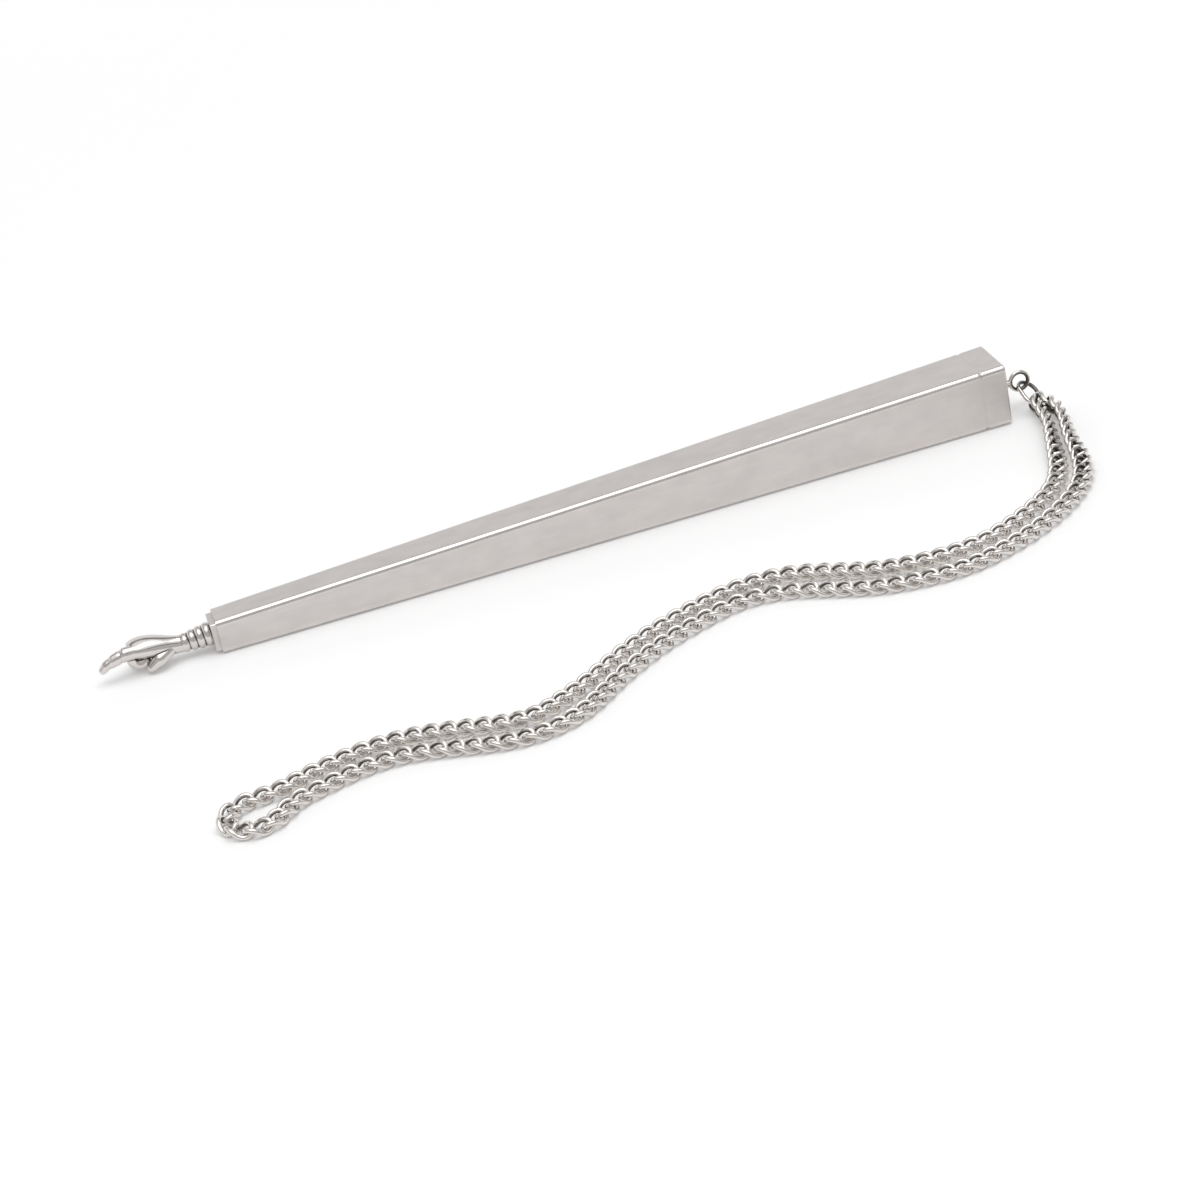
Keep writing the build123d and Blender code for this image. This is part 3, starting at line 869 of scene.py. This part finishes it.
class POINTER_OT_hand(bpy.types.Operator):
    """Casts the pointing hand: melts the solid's forms together and finds its hollows"""
    bl_idname = "pointer.hand"
    bl_label = "Cast Hand"

    def execute(self, context):
        settings = context.scene.pointer_hand
        work = bmesh.new()
        work.from_mesh(frame["nodes"]["hand"].data)
        bmesh.ops.remove_doubles(work, verts=work.verts, dist=MERGE_DISTANCE)
        mesh = bpy.data.meshes.new("hand_core")
        work.to_mesh(mesh)
        work.free()
        core = bpy.data.objects.new("hand_core", mesh)
        context.scene.collection.objects.link(core)
        remesh = core.modifiers.new("cast", "REMESH")
        remesh.mode = "VOXEL"
        remesh.voxel_size = settings.voxel
        remesh.use_smooth_shade = True
        melt = core.modifiers.new("melt", "SMOOTH")
        melt.factor = 0.5
        melt.iterations = settings.melt_rounds
        hand = evaluated_copy(core, "cast_hand")
        press_creases(hand.data, settings)
        mark_hollows(hand.data)
        hand.data.shade_smooth()
        hand.data.materials.clear()
        hand.data.materials.append(shared_material("cast_silver"))
        finish_piece(hand, POINTER_BODY, "cast_hand", "hand")
        return {"FINISHED"}


class POINTER_OT_eye(bpy.types.Operator):
    """Builds the eye: a wire loop on a shank"""
    bl_idname = "pointer.eye"
    bl_label = "Eye"

    def execute(self, context):
        settings = context.scene.pointer_wire
        metal = shared_material("drawn_wire")
        radius = (EYE_DIAMETER - settings.eye_wire) / 2
        centre_x = eye_high.x - EYE_DIAMETER / 2
        points = []
        for step in range(EYE_STEPS):
            angle = 2 * math.pi * step / EYE_STEPS
            points.append((radius * math.cos(angle), 0, radius * math.sin(angle)))
        values = {"Wire Diameter": settings.eye_wire, "Wire Sides": settings.ring_sides, "Metal": metal}
        loop = grown(path_object("eye_path", points), shared_tree("bent_wire"), "wire_eye", **values)
        moved_mesh(loop, Matrix.Translation((centre_x, 0, EYE_HEIGHT)))
        shank_radius = (eye_high.y - eye_low.y) / 2
        shank_end = centre_x - radius
        angles = np.linspace(0, 2 * math.pi, SHANK_SIDES, endpoint=False)
        circle = [Vector((0, math.cos(angle), math.sin(angle))) for angle in angles]
        stations = [(eye_low.x, 1.0), (cap_high.x, 1.0)]
        stations += [(shank_end - settings.eye_wire / 4, SHANK_NECK), (shank_end, SHANK_TIP)]
        rings = []
        for x, share in stations:
            ring = [(p.y * shank_radius * share, p.z * shank_radius * share) for p in circle]
            rings.append([Vector((x, y, EYE_HEIGHT + z)) for y, z in ring])
        shank_points, shank_faces = skin(rings, closed=False)
        shank = mesh_object("eye_shank", shank_points, shank_faces, metal)
        union = loop.modifiers.new("solder", "BOOLEAN")
        union.operation = "UNION"
        union.solver = "EXACT"
        union.object = shank
        eye = evaluated_copy(loop, "wire_eye")
        bpy.data.objects.remove(shank)
        eye.data.shade_smooth()
        eye.data.set_sharp_from_angle(angle=WIRE_EDGE)
        finish_piece(eye, POINTER_BODY, "wire", "eye")
        return {"FINISHED"}


class POINTER_OT_jump_ring(bpy.types.Operator):
    """Builds the oval jump ring that hangs from the eye"""
    bl_idname = "pointer.jump_ring"
    bl_label = "Jump Ring"

    def execute(self, context):
        settings = context.scene.pointer_wire
        triangles = loose_solids("jump_ring")[0]
        centre, axes = link_pose(triangles)
        local = (triangles.reshape(-1, 3) - centre) @ axes
        length, width = np.ptp(local[:, 0]), np.ptp(local[:, 1])
        bend = (width - settings.ring_wire) / 2
        straight = (length - width) / 2
        points = []
        for side in (1, -1):
            for step in range(RING_STEPS + 1):
                angle = math.pi * (step / RING_STEPS - 0.5)
                points.append((side * (straight + bend * math.cos(angle)), side * bend * math.sin(angle), 0))
        values = {"Wire Diameter": settings.ring_wire, "Wire Sides": settings.ring_sides}
        values["Metal"] = shared_material("drawn_wire")
        ring = grown(path_object("ring_path", points), shared_tree("bent_wire"), "oval_jump_ring", **values)
        place = Matrix(axes.tolist()).to_4x4()
        place.translation = centre.tolist()
        moved_mesh(ring, place)
        finish_piece(ring, RING_BODY, "wire", "jump_ring")
        return {"FINISHED"}


class POINTER_OT_chain(bpy.types.Operator):
    """Lays the curb links of every span where the frame has them"""
    bl_idname = "pointer.chain"
    bl_label = "Curb Chain"

    def execute(self, context):
        settings = context.scene.pointer_wire
        half_length = (settings.link_length - settings.link_wire) / 2
        half_width = (settings.link_width - settings.link_wire) / 2
        line = link_path(half_length, half_width, settings.end_tilt, settings.side_slope, settings.link_steps)
        path = path_object("link_path", line)
        values = {"Link Path": path, "Wire Diameter": settings.link_wire, "Wire Sides": settings.link_sides}
        values["Metal"] = shared_material("chain_wire")
        bodies = frame["record"]["behaviour"]["bodies"]
        for body, nodes in bodies.items():
            if body in (POINTER_BODY, RING_BODY):
                continue
            places = []
            turns = []
            for node in nodes:
                for triangles in loose_solids(node):
                    centre, axes = link_pose(triangles)
                    places.append(centre)
                    turns.append(Matrix(axes.tolist()).to_euler("XYZ"))
            mesh = bpy.data.meshes.new("link_places")
            mesh.from_pydata([tuple(place) for place in places], [], [])
            turn = mesh.attributes.new("turn", "FLOAT_VECTOR", "POINT")
            turn.data.foreach_set("vector", [angle for euler in turns for angle in euler])
            source = bpy.data.objects.new("link_places", mesh)
            context.scene.collection.objects.link(source)
            links = grown(source, shared_tree("chain_run"), f"curb_links_{body}", **values)
            finish_piece(links, body, "chain", *nodes)
        bpy.data.objects.remove(path)
        return {"FINISHED"}


# Grey of the studio's walls by the height that a direction rises to, and how far one blends into the other
NEAR_WALL = [(0.0, 0.55), (0.30, 0.50), (0.46, 0.75), (0.54, 0.20), (0.60, 0.20), (0.70, 0.95), (1.0, 1.0)]
FAR_WALL = [(0.0, 0.93), (0.56, 0.93), (0.64, 0.12), (0.71, 0.12), (0.80, 0.95), (1.0, 1.0)]
WALL_BLEND = 0.2


class POINTER_OT_stage(bpy.types.Operator):
    """Sets the camera, the pale floor and the soft light"""
    bl_idname = "pointer.stage"
    bl_label = "Stage"

    def execute(self, context):
        settings = context.scene.pointer_stage
        scene = context.scene
        scene.view_settings.view_transform = "Standard"
        camera = bpy.data.cameras.new("photo_camera")
        camera.lens = settings.lens
        camera.clip_start = 0.01
        camera.clip_end = 30.0
        viewer = bpy.data.objects.new("photo_camera", camera)
        turn = Matrix.Rotation(settings.heading, 4, "Z") @ Matrix.Rotation(settings.tilt, 4, "X")
        turn = turn @ Matrix.Rotation(settings.roll, 4, "Z")
        viewer.matrix_world = Matrix.Translation(settings.camera_place) @ turn
        scene.collection.objects.link(viewer)
        scene.camera = viewer
        self.lay_floor(settings)
        self.light(scene, settings)
        return {"FINISHED"}

    def lay_floor(self, settings):
        material, tree = new_material("pale_floor")
        path = Signal.node(tree, "ShaderNodeLightPath", {}, {}, None)
        seen = Signal(path.outputs["Is Camera Ray"]) + Signal(path.outputs["Is Glossy Ray"])
        seen = (seen + Signal(path.outputs["Is Transmission Ray"])).clamped()
        matt = Signal.node(tree, "ShaderNodeBsdfDiffuse", {}, {"Color": (*settings.floor_tint, 1.0)})
        place = Signal.node(tree, "ShaderNodeTexCoord", {}, {}, "Object")
        away = Signal.node(tree, "ShaderNodeVectorMath", {"operation": "LENGTH"}, {0: place}, "Value")
        away = away.least(settings.glow_reach)
        lift = away * away * settings.far_glow + settings.floor_glow
        glow = Signal.node(tree, "ShaderNodeEmission", {}, {"Strength": seen * lift})
        both = Signal.node(tree, "ShaderNodeAddShader", {}, {0: matt, 1: glow})
        Signal.node(tree, "ShaderNodeOutputMaterial", {}, {"Surface": both}, None)
        reach = settings.floor_reach
        corners = [(-reach, -reach, 0), (reach, -reach, 0), (reach, reach, 0), (-reach, reach, 0)]
        floor = mesh_object("pale_floor", corners, [(0, 1, 2, 3)], material)

    def light(self, scene, settings):
        world = bpy.data.worlds.new("white_studio")
        world.use_nodes = True
        tree = world.node_tree
        tree.nodes.clear()
        path = Signal.node(tree, "ShaderNodeLightPath", {}, {}, None)
        direction = Signal.node(tree, "ShaderNodeTexCoord", {}, {}, "Generated")
        parts = Signal.node(tree, "ShaderNodeSeparateXYZ", {}, {"Vector": direction}, None)
        height = Signal(parts.outputs["Z"]).most(0.0)
        behind = Signal(parts.outputs["Y"]).fade(-WALL_BLEND, WALL_BLEND)
        near_wall = Signal.node(tree, "ShaderNodeValToRGB", {"stops": NEAR_WALL}, {"Fac": height})
        far_wall = Signal.node(tree, "ShaderNodeValToRGB", {"stops": FAR_WALL}, {"Fac": height})
        inputs = {"Factor": behind, 6: near_wall, 7: far_wall}
        walls = Signal.node(tree, "ShaderNodeMix", {"data_type": "RGBA"}, inputs, 2)
        studio = Signal.node(tree, "ShaderNodeBackground", {}, {"Color": walls, "Strength": 1.0})
        inputs = {"Color": (1.0, 1.0, 1.0, 1.0), "Strength": 1.0}
        white = Signal.node(tree, "ShaderNodeBackground", {}, inputs)
        seen = Signal(path.outputs["Is Camera Ray"])
        both = Signal.node(tree, "ShaderNodeMixShader", {}, {0: seen, 1: studio, 2: white})
        Signal.node(tree, "ShaderNodeOutputWorld", {}, {"Surface": both}, None)
        scene.world = world
        lamp = bpy.data.lights.new("overhead_softbox", "AREA")
        lamp.energy = settings.key_energy
        lamp.shape = "RECTANGLE"
        lamp.size = settings.softbox_length
        lamp.size_y = settings.softbox_width
        softbox = bpy.data.objects.new("overhead_softbox", lamp)
        place = Vector(settings.softbox_place)
        softbox.matrix_world = Matrix.Translation(place) @ place.to_track_quat("Z", "Y").to_matrix().to_4x4()
        scene.collection.objects.link(softbox)


class POINTER_PT_panel(bpy.types.Panel):
    """Lists the pointer's pieces"""
    bl_idname = "POINTER_PT_panel"
    bl_label = "Silver Pointer"
    bl_space_type = "VIEW_3D"
    bl_region_type = "UI"
    bl_category = "Pointer"

    def draw(self, context):
        for operator in OPERATORS:
            self.layout.operator(operator.bl_idname)
        for group in SETTINGS:
            settings = getattr(context.scene, group)
            box = self.layout.box()
            for name in settings.bl_rna.properties.keys():
                if name not in ("rna_type", "name"):
                    box.prop(settings, name)


SETTINGS = {
    "pointer_shaft": ShaftSettings,
    "pointer_hand": HandSettings,
    "pointer_wire": WireSettings,
    "pointer_stage": StageSettings,
}
OPERATORS = [
    POINTER_OT_shaft,
    POINTER_OT_end_cap,
    POINTER_OT_collar,
    POINTER_OT_hand,
    POINTER_OT_eye,
    POINTER_OT_jump_ring,
    POINTER_OT_chain,
    POINTER_OT_stage,
]


def shared_material(name):
    """Material of a finish, made when it is first asked for."""
    if name not in bpy.data.materials:
        scene = bpy.context.scene
        if name == "satin_silver":
            satin_silver(scene.pointer_shaft)
        elif name == "cast_silver":
            cast_silver(scene.pointer_hand)
        else:
            drawn_wire(name, scene.pointer_wire)
    return bpy.data.materials[name]


def shared_tree(name):
    """Geometry tree, made when it is first asked for."""
    if name not in bpy.data.node_groups:
        if name == "bent_wire":
            bent_wire_tree()
        else:
            chain_run_tree(shared_tree("bent_wire"))
    return bpy.data.node_groups[name]


def register():
    for group, settings in SETTINGS.items():
        bpy.utils.register_class(settings)
        setattr(bpy.types.Scene, group, bpy.props.PointerProperty(type=settings))
    for operator in OPERATORS:
        bpy.utils.register_class(operator)
    bpy.utils.register_class(POINTER_PT_panel)


def unregister():
    bpy.utils.unregister_class(POINTER_PT_panel)
    for operator in reversed(OPERATORS):
        bpy.utils.unregister_class(operator)
    for group, settings in SETTINGS.items():
        delattr(bpy.types.Scene, group)
        bpy.utils.unregister_class(settings)


def main():
    register()
    for operator in OPERATORS:
        group, name = operator.bl_idname.split(".")
        getattr(getattr(bpy.ops, group), name)()


if __name__ == "__main__":
    main()
